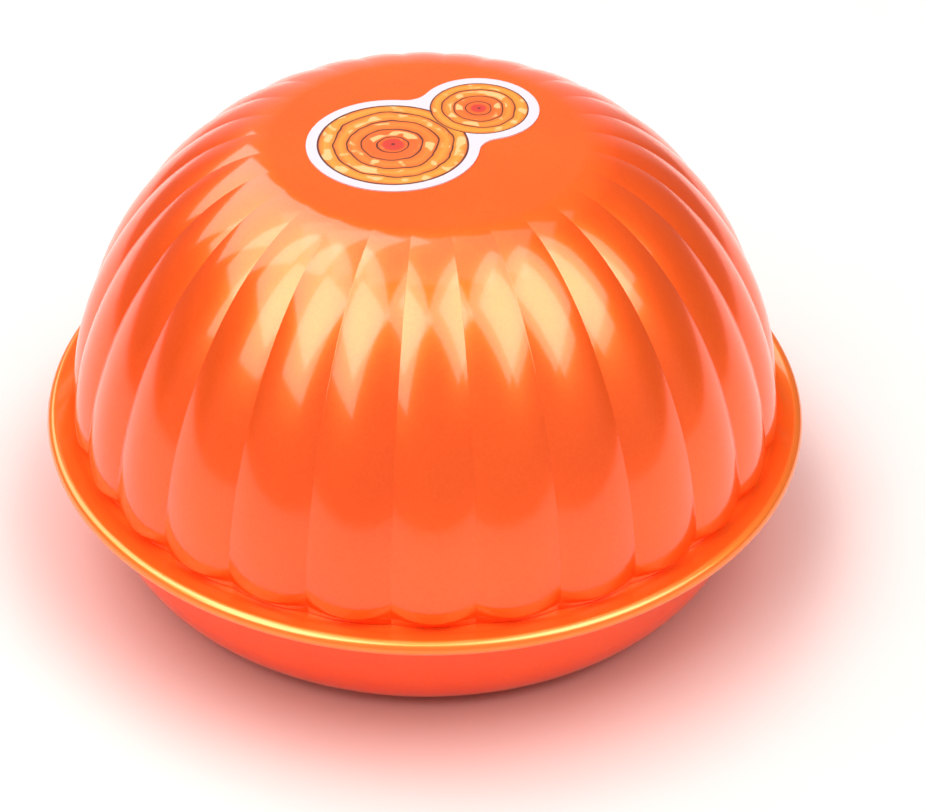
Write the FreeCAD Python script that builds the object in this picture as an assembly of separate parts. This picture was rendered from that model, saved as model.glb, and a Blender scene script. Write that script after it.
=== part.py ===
import FreeCAD, Part
import math
import os

# Onion keeper: a round dish with a flared rim, and a fluted dome lid whose neck plugs into the
# dish's mouth. Millimetres, +Z up. The origin is the middle of the circle that the dish stands on.
# The crest of one flute lies on the -Y side, which is the front.

# Dish
rim_radius = 64.0          # outermost circle of the flared rim
flange_width = 9.8         # from the mouth to the outermost circle
seat_height = 22.8         # flat ring round the mouth that the lid rests on
seat_width = 4.8           # width of that flat ring
flare_angle = 24.5         # rise of the rim outside the seat, in degrees
rim_thickness = 2.4
rim_edge_radius = 1.1      # rounding of the rim's free edge
seat_blend = 3.0           # soft change from the flat seat to the flare
dish_wall = 2.0
floor_thickness = 2.0
side_lean = 0.7            # how much further out the side stands at the rim than at its foot
foot_round = 10.2          # large rounded edge between the side and the bottom
under_rim_fillet = 2.5
foot_recess = 0.8          # height of the hollow inside the foot ring
foot_ring_width = 3.0

# Lid
fit_clearance = 0.3        # between the lid's neck and the dish's mouth
lid_wall = 1.6
neck_depth = 4.0           # how far the neck reaches below the seat
neck_lead = 0.6            # slant at the neck's lower edge that guides it into the mouth
collar_overlap = 3.9       # how far the collar under the flutes reaches over the seat
collar_height = 1.2
collar_scallop = 0.6       # how much the collar follows the flutes above it
flute_overhang = 1.5       # how far the widest flute crest stands out beyond the collar
flute_end_height = 1.0     # from the collar up to the widest circle, where each flute rounds in
valley_lift = 2.2          # how much higher the valleys round in, so that each flute ends in an arch
crown_height = 48.0        # from the widest circle up to the flat top
top_radius = 25.0          # flat round top
dome_fullness = 1.73       # 2 is a true ellipse, less is flatter in the shoulder
flute_count = 28
flute_depth = 1.1          # at the widest circle, from crest to valley
crown_sections = 9         # sections of the loft from the flat top to the widest circle
end_sections = 3           # sections of the loft in the rounded ends of the flutes

# Label on the flat top
label_thickness = 0.2
label_border = 1.7         # plain edge round the printed rings
large_ring_radius = 12.0
small_ring_radius = 8.0
large_ring_place = (-5.5, -1.0)
small_ring_place = (8.5, 10.0)
label_waist_fillet = 4.0   # rounding where the two rings meet

# Worked out from the sizes above
quarter_turn = math.radians(90)
mouth_radius = rim_radius - flange_width
seat_outer_radius = mouth_radius + seat_width
side_radius = mouth_radius + dish_wall
floor_height = foot_recess + floor_thickness
neck_outer_radius = mouth_radius - fit_clearance
neck_inner_radius = neck_outer_radius - lid_wall
neck_bottom = seat_height - neck_depth
web_top = seat_height + lid_wall
collar_radius = mouth_radius + collar_overlap
collar_top = seat_height + collar_height
belly_radius = collar_radius + flute_overhang
belly_level = collar_top + flute_end_height
top_level = belly_level + crown_height


def rounded_outline(corners):
    """A closed outline in the XZ plane through (radius, height, rounding) corners."""
    count = len(corners)
    arcs = []
    for i in range(count):
        before = FreeCAD.Vector(corners[i - 1][0], 0, corners[i - 1][1])
        here = FreeCAD.Vector(corners[i][0], 0, corners[i][1])
        after = FreeCAD.Vector(corners[(i + 1) % count][0], 0, corners[(i + 1) % count][1])
        rounding = corners[i][2]
        if rounding == 0:
            arcs.append((here, None, here))
            continue
        back = (before - here).normalize()
        ahead = (after - here).normalize()
        half = back.getAngle(ahead) / 2
        reach = rounding / math.tan(half)
        bisector = (back + ahead).normalize()
        middle = here + bisector * (rounding / math.sin(half) - rounding)
        arcs.append((here + back * reach, middle, here + ahead * reach))
    edges = []
    for i in range(count):
        start, middle, end = arcs[i]
        if middle is not None:
            edges.append(Part.Arc(start, middle, end).toShape())
        following = arcs[(i + 1) % count][0]
        if (following - end).Length > 1e-6:
            edges.append(Part.makeLine(end, following))
    return Part.Wire(edges)


def turned(corners):
    """A solid of revolution about Z from an outline."""
    face = Part.Face(rounded_outline(corners))
    return face.revolve(FreeCAD.Vector(0, 0, 0), FreeCAD.Vector(0, 0, 1), 360)


def upright_disc(radius, bottom, top, x=0, y=0):
    """A solid cylinder between two heights."""
    return Part.makeCylinder(radius, top - bottom, FreeCAD.Vector(x, y, bottom))


def rim_corners():
    """Lower and upper corner of the rim's free edge, placed so that the rounding of the lower one
    reaches the outermost circle."""
    slope = math.radians(flare_angle)
    half_thickness = rim_thickness / 2
    round_center = rim_radius - rim_edge_radius - (half_thickness - rim_edge_radius) * math.sin(slope)
    middle = round_center + rim_edge_radius * math.cos(slope)
    upper_r = middle - half_thickness * math.sin(slope)
    upper_z = seat_height + (upper_r - seat_outer_radius) * math.tan(slope)
    lower_r = upper_r + rim_thickness * math.sin(slope)
    lower_z = upper_z - rim_thickness * math.cos(slope)
    return (lower_r, lower_z), (upper_r, upper_z)


def dish():
    """The bowl, its foot ring, the flat seat and the flared rim, moulded in one piece."""
    lower, upper = rim_corners()
    under_rim = lower[1] - (lower[0] - side_radius) * math.tan(math.radians(flare_angle))
    foot_radius = side_radius - side_lean
    ring_inner_radius = foot_radius - foot_round - foot_ring_width
    bore_end = neck_bottom - fit_clearance
    return turned([
        (0, foot_recess, 0),
        (ring_inner_radius - foot_recess, foot_recess, 0),
        (ring_inner_radius, 0, 0),
        (foot_radius, 0, foot_round),
        (side_radius, under_rim, under_rim_fillet),
        (lower[0], lower[1], rim_edge_radius),
        (upper[0], upper[1], rim_edge_radius),
        (seat_outer_radius, seat_height, seat_blend),
        (mouth_radius, seat_height, 0),
        (mouth_radius, bore_end, 0),
        (foot_radius - dish_wall, floor_height, foot_round - dish_wall),
        (0, floor_height, 0),
    ])


def crest_point(turn, inset):
    """The flute crest at an angle round the dome's profile: 90 degrees at the flat top, 0 at the
    widest circle. The inside of the wall is the same curve, inset by the wall."""
    power = 2 / dome_fullness
    out = (belly_radius - inset - top_radius) * math.cos(turn) ** power
    up = (crown_height - inset) * abs(math.sin(turn)) ** power
    return top_radius + out, belly_level + math.copysign(up, turn)


def crown_stations(inset):
    """Crest and valley points of the sections from the flat top down to the widest circle. The
    flutes start at nothing on the edge of the flat top, deepen fast at first and then ever slower,
    as a sine does over its first quarter."""
    turns = [quarter_turn * (1 - i / crown_sections) for i in range(crown_sections + 2)]
    crests = [crest_point(turn, inset) for turn in turns]
    reach = [0.0]
    for (r0, z0), (r1, z1) in zip(crests, crests[1:]):
        reach.append(reach[-1] + math.hypot(r1 - r0, z1 - z0))
    stations = []
    for i in range(crown_sections + 1):
        r, z = crests[i]
        depth = flute_depth * math.sin(quarter_turn * reach[i] / reach[crown_sections])
        before = crests[max(i - 1, 0)]
        after = crests[i + 1]
        run, fall = after[0] - before[0], before[1] - after[1]
        length = math.hypot(run, fall)
        stations.append(((r, z), (r - depth * fall / length, z - depth * run / length)))
    belly_crest, belly_valley = stations[-1]
    stations[-1] = (belly_crest, (belly_valley[0], belly_valley[1] + valley_lift))
    return stations


def end_stations(inset, foot_level):
    """Crest and valley points of the sections where the flutes round in to the collar, each over
    a quarter of an ellipse."""
    foot_crest = collar_radius - inset
    foot_valley = foot_crest - collar_scallop
    belly_crest = belly_radius - inset
    belly_valley = belly_crest - flute_depth
    stations = []
    for i in range(1, end_sections + 1):
        turn = quarter_turn * i / end_sections
        crest = foot_crest + (belly_crest - foot_crest) * math.cos(turn)
        valley = foot_valley + (belly_valley - foot_valley) * math.cos(turn)
        drop = (belly_level - foot_level) * math.sin(turn)
        valley_drop = (belly_level + valley_lift - foot_level) * math.sin(turn)
        stations.append(((crest, belly_level - drop), (valley, belly_level + valley_lift - valley_drop)))
    return stations


def fluted_ring(crest, valley):
    """One section of the lid: an arc for each flute, from valley over crest to valley."""
    pitch = 2 * math.pi / flute_count
    edges = []
    for i in range(flute_count):
        middle = i * pitch - quarter_turn
        points = []
        for angle, (r, z) in ((middle - pitch / 2, valley), (middle, crest), (middle + pitch / 2, valley)):
            points.append(FreeCAD.Vector(r * math.cos(angle), r * math.sin(angle), z))
        edges.append(Part.Arc(points[0], points[1], points[2]).toShape())
    return Part.Wire(edges)


def fluted_dome(inset, foot_level):
    """A solid dome with the flutes lofted down its side."""
    stations = crown_stations(inset) + end_stations(inset, foot_level)
    return Part.makeLoft([fluted_ring(crest, valley) for crest, valley in stations], True)


def collar():
    """The low band between the flutes' ends and the seat."""
    crest = (collar_radius, seat_height)
    valley = (collar_radius - collar_scallop, seat_height)
    return Part.Face(fluted_ring(crest, valley)).extrude(FreeCAD.Vector(0, 0, collar_height))


def neck():
    """The plug under the collar, still solid, with its slanted lower edge."""
    return turned([
        (0, neck_bottom, 0),
        (neck_outer_radius - neck_lead, neck_bottom, 0),
        (neck_outer_radius, neck_bottom + neck_lead, 0),
        (neck_outer_radius, seat_height, 0),
        (0, seat_height, 0),
    ])


def lid():
    """The fluted dome with its flat top, its collar and its neck, moulded in one piece with an
    even wall. The collar's flat underside rests on the dish's seat."""
    outside = fluted_dome(0, collar_top).fuse([collar(), neck()])
    bore = upright_disc(neck_inner_radius, neck_bottom, web_top)
    shell = outside.cut(fluted_dome(lid_wall, web_top)).cut(bore).removeSplitter()
    return shell.Solids[0]


def label():
    """A thin film on the flat top: two round fields that merge, each with a plain border."""
    fields = [
        (large_ring_place, large_ring_radius + label_border),
        (small_ring_place, small_ring_radius + label_border),
    ]
    top = top_level + label_thickness
    discs = [upright_disc(radius, top_level, top, place[0], place[1]) for place, radius in fields]
    film = discs[0].fuse(discs[1]).removeSplitter()
    notches = [edge for edge in film.Edges if is_notch(edge, fields)]
    return film.makeFillet(label_waist_fillet, notches).Solids[0]


def is_notch(edge, fields):
    """True for an upright edge where the two round fields meet."""
    middle = edge.CenterOfMass
    return all(abs(math.hypot(middle.x - place[0], middle.y - place[1]) - radius) < 1e-3
               for place, radius in fields)


os.makedirs("parts", exist_ok=True)
for name, shape in (("dish", dish()), ("fluted_lid", lid()), ("top_label", label())):
    shape.exportStep("parts/" + name + ".step")
    print(name, shape.ShapeType, "valid", shape.isValid(), "volume", round(shape.Volume, 1), "mm3")
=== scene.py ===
import math
import bpy
from mathutils import Matrix, Vector


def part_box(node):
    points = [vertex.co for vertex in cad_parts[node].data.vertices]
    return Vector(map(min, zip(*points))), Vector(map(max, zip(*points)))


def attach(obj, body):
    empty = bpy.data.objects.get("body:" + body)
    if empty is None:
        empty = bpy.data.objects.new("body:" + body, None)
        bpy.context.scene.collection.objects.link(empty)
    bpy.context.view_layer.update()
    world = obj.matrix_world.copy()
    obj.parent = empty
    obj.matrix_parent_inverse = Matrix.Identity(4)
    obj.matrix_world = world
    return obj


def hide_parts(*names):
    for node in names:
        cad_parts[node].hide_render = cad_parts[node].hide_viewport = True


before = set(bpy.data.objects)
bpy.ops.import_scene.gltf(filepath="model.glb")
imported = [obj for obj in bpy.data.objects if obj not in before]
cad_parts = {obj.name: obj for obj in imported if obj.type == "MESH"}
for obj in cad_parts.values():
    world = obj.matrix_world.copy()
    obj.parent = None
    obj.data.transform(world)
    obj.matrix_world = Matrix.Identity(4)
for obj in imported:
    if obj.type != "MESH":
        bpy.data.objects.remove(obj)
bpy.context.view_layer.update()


# The dish: a shallow round bowl with a flat seat round its mouth and a flared rim, injection
# moulded in one piece from glossy pearl orange plastic. It stands on a low foot ring.
dish_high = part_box("dish")[1]
rim_radius = dish_high.x
flange_width = 0.0098     # from the mouth to the rim's outermost circle
mouth_radius = rim_radius - flange_width
seat_height = 0.0228
seat_width = 0.0048
seat_outer_radius = mouth_radius + seat_width
seat_blend = 0.003        # rounding between the seat and the flare
flare = math.radians(24.5)
rim_thickness = 0.0024
rim_edge_radius = 0.0011
dish_wall = 0.002
side_radius = mouth_radius + dish_wall
side_lean = 0.0007        # how much further out the side stands at the rim than at its foot
foot_radius = side_radius - side_lean
foot_round = 0.0102
foot_ring_width = 0.003
foot_recess = 0.0008
floor_thickness = 0.002
floor_height = foot_recess + floor_thickness
under_rim_fillet = 0.0025
mouth_depth = 0.0043      # the straight part of the mouth, which the lid's neck goes into
bore_end = seat_height - mouth_depth
mould_edge = 0.00025      # the small rounding that a moulded edge has


def rounded_profile(corners, arc_step=math.radians(5)):
    """Points along a profile through (radius, height, rounding) corners, the first and last on
    the axis. Each rounding is a tangent arc."""
    points = [Vector(corners[0][:2])]
    for before, here, after in zip(corners, corners[1:], corners[2:]):
        corner = Vector(here[:2])
        back = (Vector(before[:2]) - corner).normalized()
        ahead = (Vector(after[:2]) - corner).normalized()
        rounding = here[2]
        half = back.angle(ahead) / 2
        reach = rounding / math.tan(half)
        center = corner + (back + ahead).normalized() * rounding / math.sin(half)
        start = corner + back * reach - center
        sweep = math.pi - 2 * half
        turn = math.copysign(sweep, back.x * ahead.y - back.y * ahead.x)
        steps = max(2, round(sweep / arc_step))
        for i in range(steps + 1):
            angle = -turn * i / steps
            points.append(center + Vector((start.x * math.cos(angle) - start.y * math.sin(angle),
                                           start.x * math.sin(angle) + start.y * math.cos(angle))))
    points.append(Vector(corners[-1][:2]))
    return points


def placed(name, data):
    """A new object in the scene."""
    made = bpy.data.objects.new(name, data)
    bpy.context.scene.collection.objects.link(made)
    return made


def skin_between(rings, name):
    """A closed mesh whose first and last rings are single points on the axis."""
    vertices = [rings[0][0]] + [p for ring in rings[1:-1] for p in ring] + [rings[-1][0]]
    count = len(rings[1])
    faces = []
    for i in range(count):
        j = (i + 1) % count
        faces.append((0, 1 + j, 1 + i))
        for k in range(len(rings) - 3):
            a = 1 + k * count
            faces.append((a + i, a + j, a + count + j, a + count + i))
        last = 1 + (len(rings) - 3) * count
        faces.append((last + i, last + j, len(vertices) - 1))
    mesh = bpy.data.meshes.new(name)
    mesh.from_pydata(vertices, [], faces)
    mesh.shade_smooth()
    return placed(name, mesh)


def turned_piece(profile, name, around=288):
    """The profile turned about the keeper's axis, with that many points in each ring."""
    turns = [2 * math.pi * i / around for i in range(around)]
    rings = [[(point.x * math.cos(turn), point.x * math.sin(turn), point.y) for turn in turns]
             for point in profile]
    return skin_between(rings, name)


def rim_edge_corners():
    """Lower and upper corner of the rim's free edge."""
    half = rim_thickness / 2
    middle = rim_radius - rim_edge_radius - (half - rim_edge_radius) * math.sin(flare)
    upper_r = middle + rim_edge_radius * math.cos(flare) - half * math.sin(flare)
    upper_z = seat_height + (upper_r - seat_outer_radius) * math.tan(flare)
    lower_r = upper_r + rim_thickness * math.sin(flare)
    lower_z = upper_z - rim_thickness * math.cos(flare)
    return (lower_r, lower_z), (upper_r, upper_z)


rim_lower, rim_upper = rim_edge_corners()
under_rim = rim_lower[1] - (rim_lower[0] - side_radius) * math.tan(flare)
ring_inner = foot_radius - foot_round - foot_ring_width
dish = turned_piece(rounded_profile([
    (0, foot_recess, 0),
    (ring_inner - foot_recess, foot_recess, mould_edge),
    (ring_inner, 0, mould_edge),
    (foot_radius, 0, foot_round),
    (side_radius, under_rim, under_rim_fillet),
    (rim_lower[0], rim_lower[1], rim_edge_radius),
    (rim_upper[0], rim_upper[1], rim_edge_radius),
    (seat_outer_radius, seat_height, seat_blend),
    (mouth_radius, seat_height, mould_edge),
    (mouth_radius, bore_end, mould_edge),
    (foot_radius - dish_wall, floor_height, foot_round - dish_wall),
    (0, floor_height, 0),
]), "dish_shell")
flats_first = dish.modifiers.new("flat faces keep their shading", "WEIGHTED_NORMAL")
flats_first.mode = "FACE_AREA"

melt_stretch = (1.0, 1.0, 0.3)    # the melt ran up the wall, which draws the swirl out
flake_scale = 3500.0              # pearl flakes in a metre
peel_scale = 700.0                # bumps in a metre, as in all noise below
smudge_scale = 70.0
swirl_spread = (-0.35, 1.35)      # the swirl's least and greatest share of the paler tone
flake_spread = (-0.25, 0.25)      # what a flake takes from that share or adds to it
smudge_spread = (-0.03, 0.05)     # what smudges take from the roughness or add to it
peel_strength = 0.25
peel_depth = 0.00002
pearl_finish = {
    "Metallic": 0.6,
    "Specular Tint": (1.0, 0.5, 0.25, 1.0),
    "Coat Weight": 1.0,
    "Coat Roughness": 0.1,
    "Coat IOR": 1.5,
}
dish_swirl_scale = 45.0
dish_roughness = 0.32
dish_deep_orange = (0.95, 0.072, 0.005, 1.0)
dish_pearl_orange = (0.98, 0.100, 0.008, 1.0)
# The rim's gold is a painted sheen: the dish's upper part turns a lighter gold where the flange
# catches the light.
rim_painted_sheen = (1.0, 0.20, 0.022, 1.0)
rim_painted_sheen_start = 0.0185           # heights between which the orange turns into the rim's painted golden sheen
rim_painted_sheen_full = 0.0225


def node(tree, kind, inputs=None, **settings):
    """Adds a node, with its settings and its inputs as values or links."""
    made = tree.nodes.new(kind)
    for name, value in settings.items():
        setattr(made, name, value)
    for name, value in (inputs or {}).items():
        if isinstance(value, bpy.types.NodeSocket):
            tree.links.new(value, made.inputs[name])
        else:
            made.inputs[name].default_value = value
    return made


def noise_at(tree, place, scale, detail=2.0, roughness=0.5):
    """Noise with a given number of bumps in a metre."""
    return node(tree, "ShaderNodeTexNoise", {"Vector": place, "Scale": scale, "Detail": detail,
                                             "Roughness": roughness}).outputs["Fac"]


def effect_group(name, inputs, outputs):
    """An empty node group with its named sockets, its entry and its exit."""
    group = bpy.data.node_groups.new(name, "ShaderNodeTree")
    for side, sockets in (("INPUT", inputs), ("OUTPUT", outputs)):
        for socket, kind in sockets:
            group.interface.new_socket(socket, in_out=side, socket_type="NodeSocket" + kind)
    return group, group.nodes.new("NodeGroupInput"), group.nodes.new("NodeGroupOutput")


def moulded_skin_group():
    """What any moulded pearl surface shows: the swirl of the pigment as the melt flowed, single
    pearl flakes, the faint peel of the mould and the smudges of handling."""
    group, entry, leave = effect_group(
        "moulded_skin", (("Flow Scale", "Float"), ("Flake Scale", "Float")),
        (("Flow", "Float"), ("Flake", "Float"), ("Peel", "Float"), ("Smudge", "Float")))
    place = node(group, "ShaderNodeTexCoord").outputs["Object"]
    drawn = node(group, "ShaderNodeMapping", {"Vector": place, "Scale": melt_stretch}).outputs[0]
    flow = noise_at(group, drawn, entry.outputs["Flow Scale"], detail=3.0)
    flakes = node(group, "ShaderNodeTexVoronoi",
                  {"Vector": place, "Scale": entry.outputs["Flake Scale"]})
    flake = node(group, "ShaderNodeSeparateColor", {"Color": flakes.outputs["Color"]})
    peel = noise_at(group, place, peel_scale, detail=1.0)
    smudge = noise_at(group, place, smudge_scale, detail=4.0, roughness=0.6)
    for name, value in (("Flow", flow), ("Flake", flake.outputs["Red"]), ("Peel", peel),
                        ("Smudge", smudge)):
        group.links.new(value, leave.inputs[name])
    return group


moulded_skin = moulded_skin_group()


def remap(tree, value, low, high):
    """Spreads a 0 to 1 value over another range."""
    return node(tree, "ShaderNodeMapRange",
                {"Value": value, "To Min": low, "To Max": high}).outputs[0]


def share_between(tree, value, start, end, **settings):
    """How far a value has come from start, where it counts 0, to end, where it counts 1."""
    return node(tree, "ShaderNodeMapRange", {"Value": value, "From Min": start, "From Max": end},
                **settings).outputs[0]


def calculated(tree, operation, *values, **settings):
    """The result of one sum with values or links."""
    return node(tree, "ShaderNodeMath", dict(enumerate(values)), operation=operation,
                **settings).outputs[0]


def blend(tree, share, first, second):
    """Mixes two colours, each a value or a link."""
    mix = tree.nodes.new("ShaderNodeMix")
    mix.data_type = "RGBA"
    tree.links.new(share, mix.inputs[0])
    for socket, color in ((mix.inputs[6], first), (mix.inputs[7], second)):
        if isinstance(color, bpy.types.NodeSocket):
            tree.links.new(color, socket)
        else:
            socket.default_value = color
    return mix.outputs[2]


def new_finish(name):
    """A new material, with its node tree and its shader."""
    material = bpy.data.materials.new(name)
    material.use_nodes = True
    return material, material.node_tree, material.node_tree.nodes["Principled BSDF"]


def add_relief(tree, shader, height, strength, depth):
    """Gives a shader a fine relief from a 0 to 1 height."""
    bump = node(tree, "ShaderNodeBump", {"Height": height, "Strength": strength,
                                         "Distance": depth})
    tree.links.new(bump.outputs["Normal"], shader.inputs["Normal"])


def pearl_plastic(name, flow_scale, roughness, deep, pearl, rim=None, satin=None):
    """Pearl plastic between two tones, with a clear glossy skin. Rim is the tone of a painted golden
    sheen on the upper part, where the flange catches the light, with the heights between which it
    begins. Satin is the added roughness of a duller upper part, also with two heights."""
    material, tree, shader = new_finish(name)
    skin = node(tree, "ShaderNodeGroup", node_tree=moulded_skin)
    skin.inputs["Flow Scale"].default_value = flow_scale
    skin.inputs["Flake Scale"].default_value = flake_scale
    swirl = remap(tree, skin.outputs["Flow"], *swirl_spread)
    sparkle = remap(tree, skin.outputs["Flake"], *flake_spread)
    shade = calculated(tree, "ADD", swirl, sparkle, use_clamp=True)
    tone = blend(tree, shade, deep, pearl)
    place = node(tree, "ShaderNodeTexCoord").outputs["Object"]
    height = node(tree, "ShaderNodeSeparateXYZ", {"Vector": place}).outputs["Z"]
    # painted golden sheen over the upper part, by height
    if rim:
        painted_sheen_tone, painted_sheen_start, painted_sheen_full = rim
        tone = blend(tree, share_between(tree, height, painted_sheen_start, painted_sheen_full), tone, painted_sheen_tone)
    tree.links.new(tone, shader.inputs["Base Color"])
    dullness = remap(tree, skin.outputs["Smudge"], roughness + smudge_spread[0],
                     roughness + smudge_spread[1])
    if satin:
        added, satin_start, satin_full = satin
        more = node(tree, "ShaderNodeMapRange", {"Value": height, "From Min": satin_start,
                                                 "From Max": satin_full, "To Max": added})
        dullness = calculated(tree, "ADD", dullness, more.outputs[0])
    tree.links.new(dullness, shader.inputs["Roughness"])
    add_relief(tree, shader, skin.outputs["Peel"], peel_strength, peel_depth)
    for socket, value in pearl_finish.items():
        shader.inputs[socket].default_value = value
    return material


dish.data.materials.append(pearl_plastic(
    "dish_pearl_plastic", dish_swirl_scale, dish_roughness, dish_deep_orange, dish_pearl_orange,
    rim=(rim_painted_sheen, rim_painted_sheen_start, rim_painted_sheen_full)))
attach(dish, "dish_body")
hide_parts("dish")


# The lid: a dome with 28 petal-like flutes that start at nothing round its flat top and round in
# to a low collar. It is moulded in one piece with an even wall; its neck plugs into the dish's
# mouth and its collar rests on the dish's seat.
lid_low, lid_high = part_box("fluted_lid")
lid_wall = 0.0016
collar_overlap = 0.0039   # how far the collar reaches over the seat
collar_radius = mouth_radius + collar_overlap
collar_height = 0.0012
collar_top = seat_height + collar_height
collar_scallop = 0.0006   # how much the collar follows the flutes above it
belly_radius = 0.0596
flute_end_height = 0.001  # from the collar up to the widest circle, where each flute rounds in
belly_level = collar_top + flute_end_height
valley_lift = 0.0022      # how much higher the valleys round in, which ends each flute in an arch
lift_reach = 0.008        # over this height the valleys' lift fades out
top_radius = 0.025
top_ring_radius = top_radius * 0.5
top_edge_hold = 0.0004    # the top is quite flat up to this close to its edge
crown_height = lid_high.z - belly_level
dome_fullness = 1.73      # 2 is a true ellipse, less is flatter in the shoulder
flute_count = 28
flute_depth = 0.0011
steps_across_flute = 20
crown_steps = 46
flute_end_steps = 10
inner_crown_steps = 30
inner_end_steps = 6
fit_clearance = 0.0003
neck_outer_radius = mouth_radius - fit_clearance
neck_inner_radius = neck_outer_radius - lid_wall
neck_lead = 0.0006        # slant at the neck's lower edge
neck_bottom = lid_low.z
web_top = seat_height + lid_wall
edge_hold = 0.00012       # rings this close to an edge keep it crisp


def crown_point(turn, inset):
    """The flute crest round the profile: a quarter turn at the flat top, 0 at the widest circle."""
    power = 2 / dome_fullness
    out = (belly_radius - inset - top_radius) * abs(math.cos(turn)) ** power
    up = (crown_height - inset) * abs(math.sin(turn)) ** power
    return Vector((top_radius + out, belly_level + math.copysign(up, turn)))


def crown_sections(inset, count):
    """(crest, valley) of each section from the flat top down to the widest circle."""
    turns = [math.pi / 2 * (1 - i / count) for i in range(count + 2)]
    crests = [crown_point(turn, inset) for turn in turns]
    reach = [0.0]
    for upper, lower in zip(crests, crests[1:]):
        reach.append(reach[-1] + (lower - upper).length)
    sections = []
    for i in range(count + 1):
        along = (crests[i + 1] - crests[max(i - 1, 0)]).normalized()
        depth = flute_depth * math.sin(math.pi / 2 * reach[i] / reach[count])
        valley = crests[i] + Vector((along.y, -along.x)) * depth
        near_end = max(0.0, 1 - (crests[i].y - belly_level) / lift_reach)
        valley.y += valley_lift * near_end ** 2
        sections.append((crests[i], valley))
    return sections


def flute_end_sections(inset, foot_level, count):
    """(crest, valley) of each section where the flutes round in to the collar."""
    foot_crest = collar_radius - inset
    foot_valley = foot_crest - collar_scallop
    belly_crest = belly_radius - inset
    belly_valley = belly_crest - flute_depth
    valley_start = belly_level + valley_lift
    sections = []
    for i in range(1, count + 1):
        turn = math.pi / 2 * i / count
        crest = foot_crest + (belly_crest - foot_crest) * math.cos(turn)
        valley = foot_valley + (belly_valley - foot_valley) * math.cos(turn)
        level = belly_level - (belly_level - foot_level) * math.sin(turn)
        valley_level = valley_start - (valley_start - foot_level) * math.sin(turn)
        sections.append((Vector((crest, level)), Vector((valley, valley_level))))
    return sections


def plain_section(radius, level, scallop=0.0):
    """(crest, valley) of a level section, round or with its valleys in by a scallop."""
    return Vector((radius, level)), Vector((radius - scallop, level))


def fluted_ring(crest, valley):
    """One section all the way round: for each flute an arc from valley over crest to valley, with
    its points drawn together towards the valleys."""
    half_pitch = math.pi / flute_count
    half_width = valley.x * math.sin(half_pitch)
    chord = Vector((valley.x * math.cos(half_pitch), valley.y))
    rise = (crest - chord).length
    bulge = (crest - chord).normalized()
    radius = (half_width ** 2 + rise ** 2) / (2 * rise)
    half_arc = 2 * math.atan2(rise, half_width)
    flute = []
    for i in range(steps_across_flute):
        place = math.sin(math.pi / 2 * (2 * i / steps_across_flute - 1))
        angle = half_arc * place
        drop = radius * (1 - math.cos(angle))
        flute.append((crest.x - bulge.x * drop, radius * math.sin(angle), crest.y - bulge.y * drop))
    ring = []
    for i in range(flute_count):
        middle = 2 * math.pi * i / flute_count - math.pi / 2
        for out, side, up in flute:
            ring.append((out * math.cos(middle) - side * math.sin(middle),
                         out * math.sin(middle) + side * math.cos(middle), up))
    return ring


sections = [
    plain_section(top_ring_radius, lid_high.z),
    plain_section(top_radius - top_edge_hold, lid_high.z),
]
sections += crown_sections(0.0, crown_steps)
sections += flute_end_sections(0.0, collar_top, flute_end_steps)
sections += [
    plain_section(collar_radius, collar_top - edge_hold, collar_scallop),
    plain_section(collar_radius, seat_height + edge_hold, collar_scallop),
    plain_section(collar_radius, seat_height, collar_scallop),
    plain_section(collar_radius - edge_hold, seat_height, collar_scallop),
    plain_section(neck_outer_radius + edge_hold, seat_height),
    plain_section(neck_outer_radius, seat_height - edge_hold),
    plain_section(neck_outer_radius, neck_bottom + neck_lead + edge_hold),
    plain_section(neck_outer_radius - edge_hold, neck_bottom + neck_lead - edge_hold),
    plain_section(neck_outer_radius - neck_lead, neck_bottom + edge_hold),
    plain_section(neck_outer_radius - neck_lead - edge_hold, neck_bottom),
    plain_section(neck_inner_radius + edge_hold, neck_bottom),
    plain_section(neck_inner_radius, neck_bottom + edge_hold),
    plain_section(neck_inner_radius, web_top - edge_hold),
    plain_section(neck_inner_radius + edge_hold, web_top),
    plain_section(collar_radius - lid_wall - edge_hold, web_top, collar_scallop),
]
inner_sections = crown_sections(lid_wall, inner_crown_steps)
inner_sections += flute_end_sections(lid_wall, web_top, inner_end_steps)
sections += reversed(inner_sections)
sections += [plain_section(top_ring_radius, lid_high.z - lid_wall)]
rings = [[(0, 0, lid_high.z)]]
rings += [fluted_ring(crest, valley) for crest, valley in sections]
rings += [[(0, 0, lid_high.z - lid_wall)]]
lid = skin_between(rings, "lid_shell")
lid.data.flip_normals()

lid_swirl_scale = 30.0
lid_roughness = 0.31
lid_deep_orange = (0.95, 0.082, 0.005, 1.0)
lid_pearl_orange = (0.99, 0.112, 0.008, 1.0)
satin_roughness = 0.2             # added on the flat top
satin_start = lid_high.z - 0.0012
satin_full = lid_high.z - 0.0001
lid.data.materials.append(pearl_plastic(
    "lid_pearl_plastic", lid_swirl_scale, lid_roughness, lid_deep_orange, lid_pearl_orange,
    satin=(satin_roughness, satin_start, satin_full)))
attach(lid, "lid_body")
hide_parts("fluted_lid")


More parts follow.
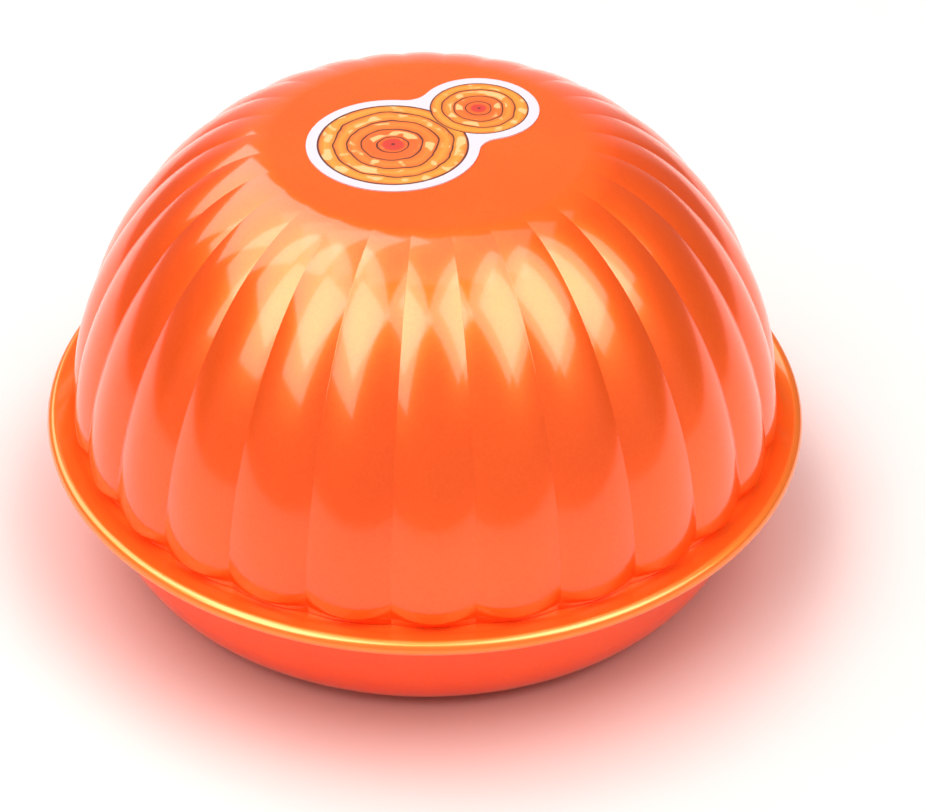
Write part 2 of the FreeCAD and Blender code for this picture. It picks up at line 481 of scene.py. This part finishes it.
# The label: a thin film stuck on the lid's flat top and printed with two onion slices. Their
# rings are drawn in amber, gold and orange with cream patches and dark lines, round a red heart
# and inside a white border.
large_slice_place = (-0.0055, -0.001, 0.0)
large_slice_radius = 0.012
large_slice_rings = 5.0
small_slice_place = (0.0085, 0.010, 0.0)
small_slice_radius = 0.008
small_slice_rings = 4.0
line_ink = (0.070, 0.006, 0.003, 1.0)
amber_ink = (0.44, 0.125, 0.007, 1.0)
gold_ink = (0.46, 0.190, 0.018, 1.0)
orange_ink = (0.45, 0.070, 0.005, 1.0)
cream_ink = (0.47, 0.290, 0.110, 1.0)
heart_ink = (0.38, 0.022, 0.010, 1.0)
white_ink = (0.43, 0.385, 0.410, 1.0)
ring_wobble = (-0.09, 0.09)       # how far the rings stray from circles, in slice radii
wobble_scale = 160.0
patch_scale = 300.0

# Each pair says where an ink begins and where it is full.
heart_reach = (0.16, 0.12)        # in slice radii from the middle, as are the next two
inner_reach = (0.75, 0.3)
edge_line = (0.965, 0.98)
ring_line = (0.43, 0.46)          # in ring widths from the middle of a ring
cream_inside = (0.2, 0.25)        # in ring widths from the inner edge of a ring
cream_outside = (0.85, 0.8)
cream_patch = (0.56, 0.6)         # in the noise that scatters the patches

film_roughness = (0.34, 0.46)
film_cloud_scale = 220.0
film_grain_scale = 2500.0
film_grain_strength = 0.2
film_grain_depth = 0.00002


def onion_slice_group():
    """One printed slice: amber, gold and orange rings with cream patches, dark lines between
    them and round the slice, and a red heart. Slice is 1 inside it."""
    group, entry, leave = effect_group(
        "onion_slice", (("Middle", "Vector"), ("Radius", "Float"), ("Rings", "Float")),
        (("Color", "Color"), ("Slice", "Float")))
    place = node(group, "ShaderNodeTexCoord").outputs["Object"]
    flat = node(group, "ShaderNodeVectorMath", {0: place, 1: (1.0, 1.0, 0.0)},
                operation="MULTIPLY").outputs[0]
    offset = node(group, "ShaderNodeVectorMath", {0: flat, 1: entry.outputs["Middle"]},
                  operation="SUBTRACT").outputs[0]
    distance = node(group, "ShaderNodeVectorMath", {0: offset}, operation="LENGTH")
    share = calculated(group, "DIVIDE", distance.outputs["Value"], entry.outputs["Radius"])
    inside = calculated(group, "LESS_THAN", share, 1.0)
    wobble = remap(group, noise_at(group, flat, wobble_scale), *ring_wobble)
    drawn = calculated(group, "ADD", share, wobble)
    counted = calculated(group, "MULTIPLY", drawn, entry.outputs["Rings"])
    within = calculated(group, "FRACT", counted)
    ramp = node(group, "ShaderNodeValToRGB", {"Fac": within})
    stops = ramp.color_ramp.elements
    stops[0].color = amber_ink
    stops[1].color = orange_ink
    stops.new(0.5).color = gold_ink
    inner = share_between(group, drawn, *inner_reach)
    rings = blend(group, inner, ramp.outputs["Color"], orange_ink)
    patch = share_between(group, noise_at(group, flat, patch_scale, detail=1.0), *cream_patch)
    start = share_between(group, within, *cream_inside)
    stop = share_between(group, within, *cream_outside)
    between = calculated(group, "MULTIPLY", start, stop)
    cream_share = calculated(group, "MULTIPLY", patch, between)
    cream = blend(group, cream_share, rings, cream_ink)
    heart = blend(group, share_between(group, drawn, *heart_reach), cream, heart_ink)
    apart = calculated(group, "ABSOLUTE", calculated(group, "SUBTRACT", within, 0.5))
    line = share_between(group, apart, *ring_line)
    edge = share_between(group, share, *edge_line)
    either = calculated(group, "MAXIMUM", line, edge)
    group.links.new(blend(group, either, heart, line_ink), leave.inputs["Color"])
    group.links.new(inside, leave.inputs["Slice"])
    return group


onion_slice = onion_slice_group()


def printed_film():
    """The film's slightly cloudy satin face, white where no slice is printed."""
    material, tree, shader = new_finish("printed_film")
    color = white_ink
    for middle, radius, count in ((large_slice_place, large_slice_radius, large_slice_rings),
                                  (small_slice_place, small_slice_radius, small_slice_rings)):
        slice_print = node(tree, "ShaderNodeGroup", node_tree=onion_slice)
        slice_print.inputs["Middle"].default_value = middle
        slice_print.inputs["Radius"].default_value = radius
        slice_print.inputs["Rings"].default_value = count
        color = blend(tree, slice_print.outputs["Slice"], color, slice_print.outputs["Color"])
    tree.links.new(color, shader.inputs["Base Color"])
    place = node(tree, "ShaderNodeTexCoord").outputs["Object"]
    dullness = remap(tree, noise_at(tree, place, film_cloud_scale), *film_roughness)
    tree.links.new(dullness, shader.inputs["Roughness"])
    grain = noise_at(tree, place, film_grain_scale, detail=1.0)
    add_relief(tree, shader, grain, film_grain_strength, film_grain_depth)
    return material


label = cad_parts["top_label"]
label.data.materials.clear()
label.data.materials.append(printed_film())


# The studio floor: a broad sheet of pale paper that fades into the white backdrop well away from
# the keeper. Close round the bowl a painted orange glow and shade stand in for the light that the
# bowl throws on it.
floor_half_side = 1.5
paper_dark = (0.55, 0.452, 0.434, 1.0)
paper_light = (0.57, 0.472, 0.454, 1.0)
paper_mottle_scale = 40.0
paper_roughness = 0.7
paper_grain_scale = 900.0
paper_grain_strength = 0.1
paper_grain_depth = 0.00005
# painted orange glow and shade on the paper close round the bowl's foot
painted_glow_tone = (0.56, 0.24, 0.2, 1.0)
painted_glow_start = 0.087        # distances from the keeper's axis, as are the next three
painted_glow_full = 0.046
fade_start = 0.45
fade_end = 1.0

floor_mesh = bpy.data.meshes.new("floor")
floor_corners = [(floor_half_side * x, floor_half_side * y, 0)
                 for x, y in ((-1, -1), (1, -1), (1, 1), (-1, 1))]
floor_mesh.from_pydata(floor_corners, [], [(0, 1, 2, 3)])
floor = placed("floor", floor_mesh)
paper, paper_tree, paper_shader = new_finish("floor_paper")
paper_place = node(paper_tree, "ShaderNodeTexCoord").outputs["Object"]
paper_grain = noise_at(paper_tree, paper_place, paper_grain_scale)
add_relief(paper_tree, paper_shader, paper_grain, paper_grain_strength, paper_grain_depth)
paper_mottle = noise_at(paper_tree, paper_place, paper_mottle_scale)
paper_tone = blend(paper_tree, paper_mottle, paper_dark, paper_light)
paper_shader.inputs["Roughness"].default_value = paper_roughness
paper_distance = node(paper_tree, "ShaderNodeVectorMath", {0: paper_place},
                      operation="LENGTH").outputs["Value"]
# painted glow and shade, strongest at the bowl's foot
paper_painted_glow = share_between(paper_tree, paper_distance, painted_glow_start, painted_glow_full,
                           interpolation_type="SMOOTHSTEP")
paper_tone = blend(paper_tree, paper_painted_glow, paper_tone, painted_glow_tone)
paper_tree.links.new(paper_tone, paper_shader.inputs["Base Color"])
paper_fade = node(paper_tree, "ShaderNodeMapRange",
                  {"Value": paper_distance, "From Min": fade_start, "From Max": fade_end,
                   "To Min": 1.0, "To Max": 0.0})
paper_tree.links.new(paper_fade.outputs[0], paper_shader.inputs["Alpha"])
floor_mesh.materials.append(paper)


# The surround: what the keeper reflects beyond the lights. It is dim at the sides and above,
# brighter in front and brightest straight behind. The camera sees plain white in its place.
front_grey = 0.4
behind_grey = 0.75
surround_greys = ((0.35, 0.35), (0.5, 0.15), (0.91, 0.15))    # share of the way back, and grey


def grey(level):
    """A grey as a colour."""
    return (level, level, level, 1.0)


surround = bpy.data.worlds.new("surround")
bpy.context.scene.world = surround
surround.use_nodes = True
sky = surround.node_tree
sky.nodes.clear()
direction = node(sky, "ShaderNodeTexCoord").outputs["Generated"]
depth = node(sky, "ShaderNodeSeparateXYZ", {"Vector": direction}).outputs["Y"]
brightness = node(sky, "ShaderNodeValToRGB", {"Fac": share_between(sky, depth, -1.0, 1.0)})
greys = brightness.color_ramp.elements
greys[0].color = grey(front_grey)
greys[1].color = grey(behind_grey)
for position, level in surround_greys:
    greys.new(position).color = grey(level)
lighting = node(sky, "ShaderNodeBackground", {"Color": brightness.outputs["Color"], "Strength": 1.0})
backdrop = node(sky, "ShaderNodeBackground", {"Color": grey(1.0), "Strength": 1.0})
seen = node(sky, "ShaderNodeLightPath").outputs["Is Camera Ray"]
either = node(sky, "ShaderNodeMixShader", {0: seen, 1: lighting.outputs[0], 2: backdrop.outputs[0]})
node(sky, "ShaderNodeOutputWorld", {"Surface": either.outputs[0]})


# The lights: six large soft boxes. One hangs nearly overhead, one stands at the back on the left,
# and on each side of the camera a smaller one brightens the middle of a larger one.
aim_height = 0.04
soft_boxes = (
    # name, azimuth (0 in front, positive to the right), elevation, distance, width, height, power
    ("overhead_light", 180, 76, 1.6, 1.3, 1.2, 6.0),
    ("left_soft_light", -72, 61, 1.5, 1.5, 1.1, 18.0),
    ("left_bright_middle", -50, 49, 1.4, 0.85, 1.1, 9.2),
    ("back_left_light", -138, 48, 1.5, 1.15, 1.15, 12.0),
    ("right_soft_light", 64, 61, 1.5, 1.4, 1.2, 16.5),
    ("right_bright_middle", 61, 54, 1.4, 0.75, 1.05, 7.4),
)
for name, azimuth, elevation, distance, width, height, power in soft_boxes:
    light = bpy.data.lights.new(name, "AREA")
    light.shape = "RECTANGLE"
    light.size = width
    light.size_y = height
    light.energy = power
    lamp = placed(name, light)
    around = math.radians(azimuth)
    up = math.radians(elevation)
    away = Vector((math.sin(around) * math.cos(up), -math.cos(around) * math.cos(up), math.sin(up)))
    lamp.location = away * distance + Vector((0, 0, aim_height))
    lamp.rotation_euler = away.to_track_quat("Z", "Y").to_euler()
    lamp.visible_camera = False


# The camera stands where the photograph was taken from: in front, a little to the left of the
# front flute, and well above the keeper.
picture_width = 925                 # in pixels
focal_length = 2310.838             # in pixels
looks_down = 37.704                 # in degrees, as are the next two
looks_right = 2.521
rolls = 1.094
camera_data = bpy.data.cameras.new("camera")
camera_data.sensor_width = 36.0
camera_data.lens = camera_data.sensor_width * (focal_length / picture_width)
camera_data.clip_start = 0.01
camera = placed("camera", camera_data)
camera.location = (-0.007543, -0.313839, 0.263072)
tilt = Matrix.Rotation(math.radians(90 - looks_down), 4, "X")
heading = Matrix.Rotation(math.radians(-looks_right), 4, "Z")
roll = Matrix.Rotation(math.radians(rolls), 4, "Z")
camera.rotation_euler = (heading @ tilt @ roll).to_euler()
bpy.context.scene.camera = camera
bpy.context.scene.view_settings.view_transform = "Standard"
